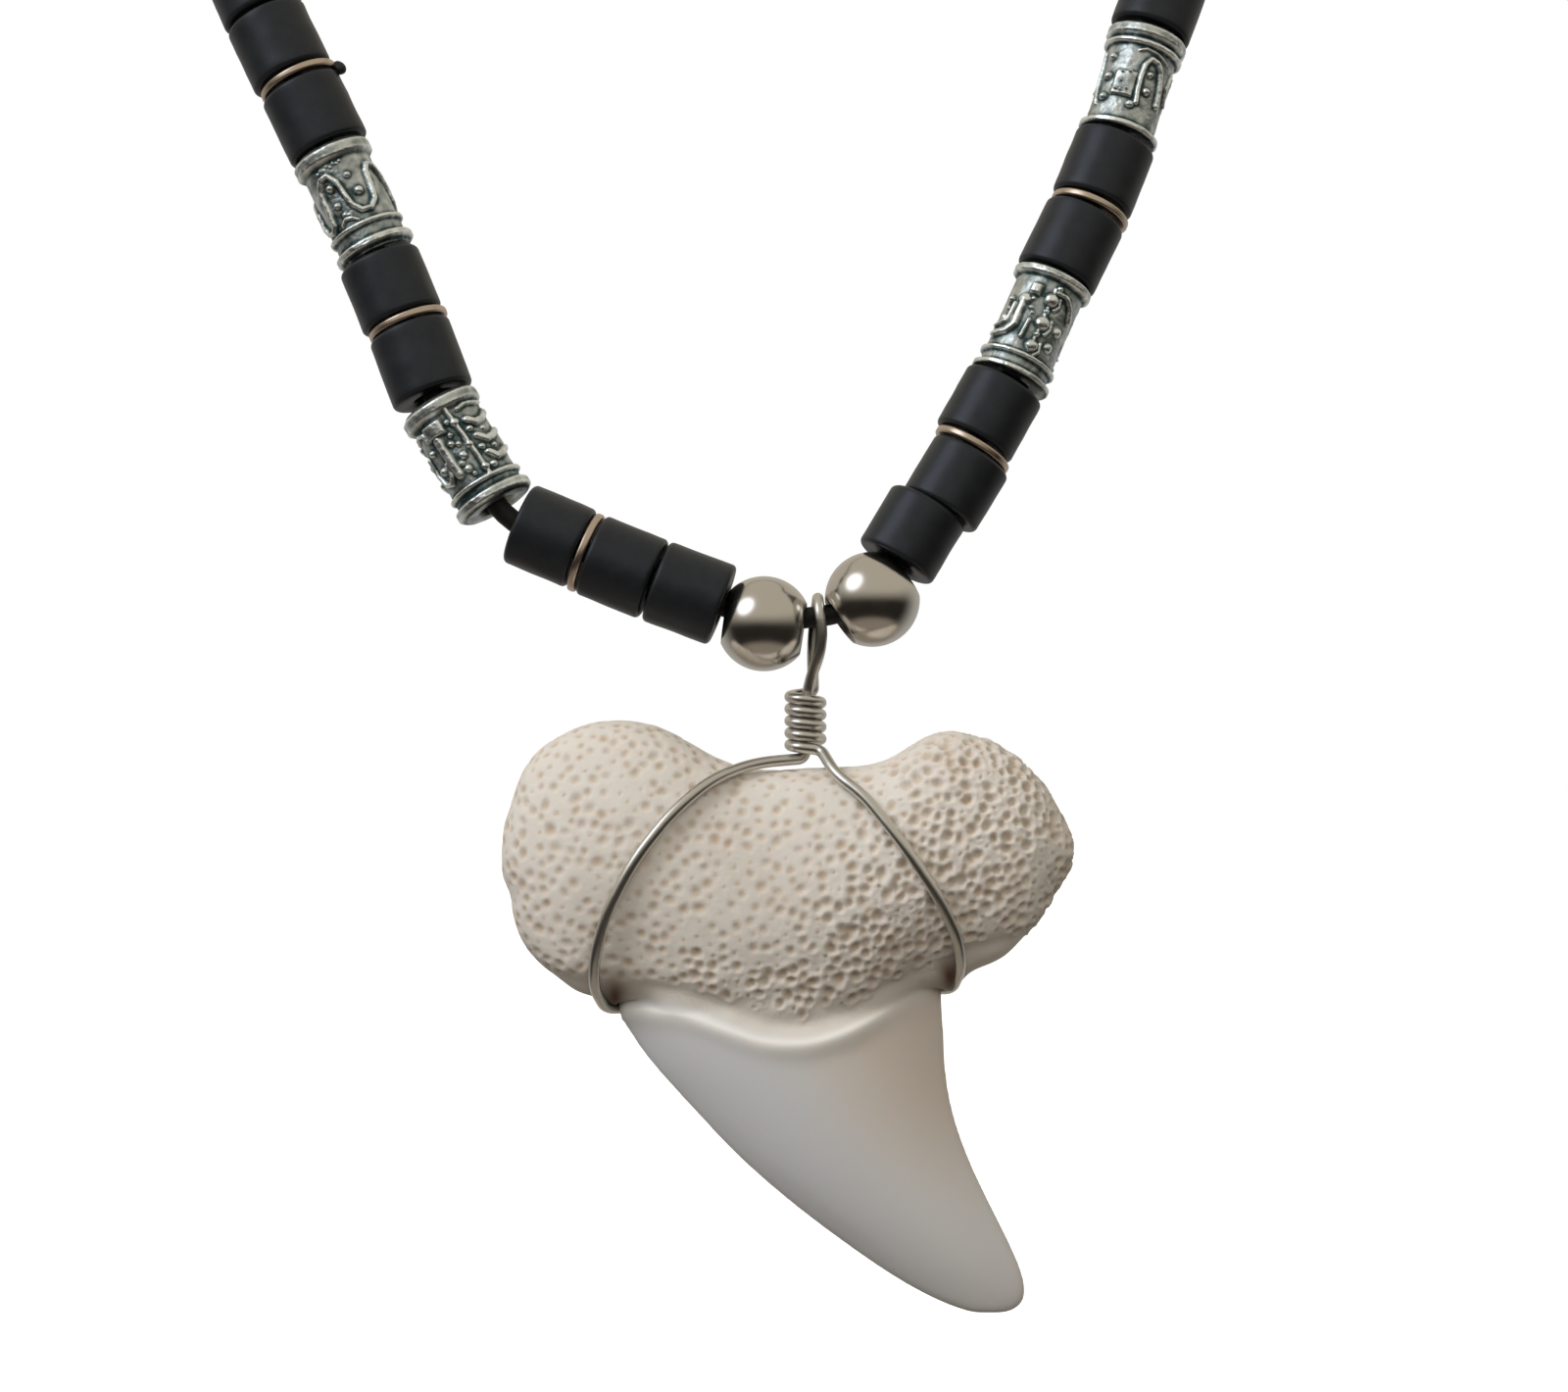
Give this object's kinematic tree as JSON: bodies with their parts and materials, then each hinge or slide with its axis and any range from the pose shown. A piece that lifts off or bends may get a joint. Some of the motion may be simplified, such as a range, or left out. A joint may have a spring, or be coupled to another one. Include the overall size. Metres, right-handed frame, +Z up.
{
  "type": "beaded pendant necklace",
  "caption": "Worn necklace of dark drilled beads, thin metal spacers and cast ornament beads on a cord, with a wire-wrapped shark tooth hanging free between polished balls.",
  "frame": {"origin": "where the clasp rests on the nape, on the clasp's front side", "axes": "+Z up as worn, -Y from the nape towards the pendant's front, +X to the right as seen from the front"},
  "size_m": [0.1136, 0.1189, 0.1747],
  "materials": {
    "tooth": "porous root and satin enamel",
    "wire": "satin stainless wire",
    "polished_steel": "mirror polished",
    "coco": "satin blackened coconut shell",
    "spacer": "pale champagne metal",
    "pewter": "cast pewter, antiqued in the recesses",
    "cord": "waxed cord",
    "clasp": "satin"
  },
  "bodies": {
    "strand": {"back_coco_beads": "coco", "back_spacers": "spacer", "clasp_barrel": "clasp", "coco_bead_left_1": "coco", "coco_bead_left_2": "coco", "coco_bead_left_3": "coco", "coco_bead_left_4": "coco", "coco_bead_left_5": "coco", "coco_bead_left_6": "coco", "coco_bead_left_7": "coco", "coco_bead_left_8": "coco", "coco_bead_right_1": "coco", "coco_bead_right_2": "coco", "coco_bead_right_3": "coco", "coco_bead_right_4": "coco", "coco_bead_right_5": "coco", "coco_bead_right_6": "coco", "pewter_bead_left_1": "pewter", "pewter_bead_left_2": "pewter", "pewter_bead_right_1": "pewter", "pewter_bead_right_2": "pewter", "spacer_left_1": "spacer", "spacer_left_2": "spacer", "spacer_left_3": "spacer", "spacer_right_1": "spacer", "spacer_right_2": "spacer", "steel_ball_left": "polished_steel", "steel_ball_right": "polished_steel", "stringing_cord": "cord"},
    "pendant": {"shark_tooth": "tooth", "bail_wire": "wire"}
  },
  "joints": [
    {"name": "pendant_swing", "type": "hinge", "parent": "strand", "child": "pendant", "pos_m": [0.00679, -0.1086, -0.12936], "axis": [0.9884, 0, 0.1522], "range_deg": [-60, 60]}
  ]
}
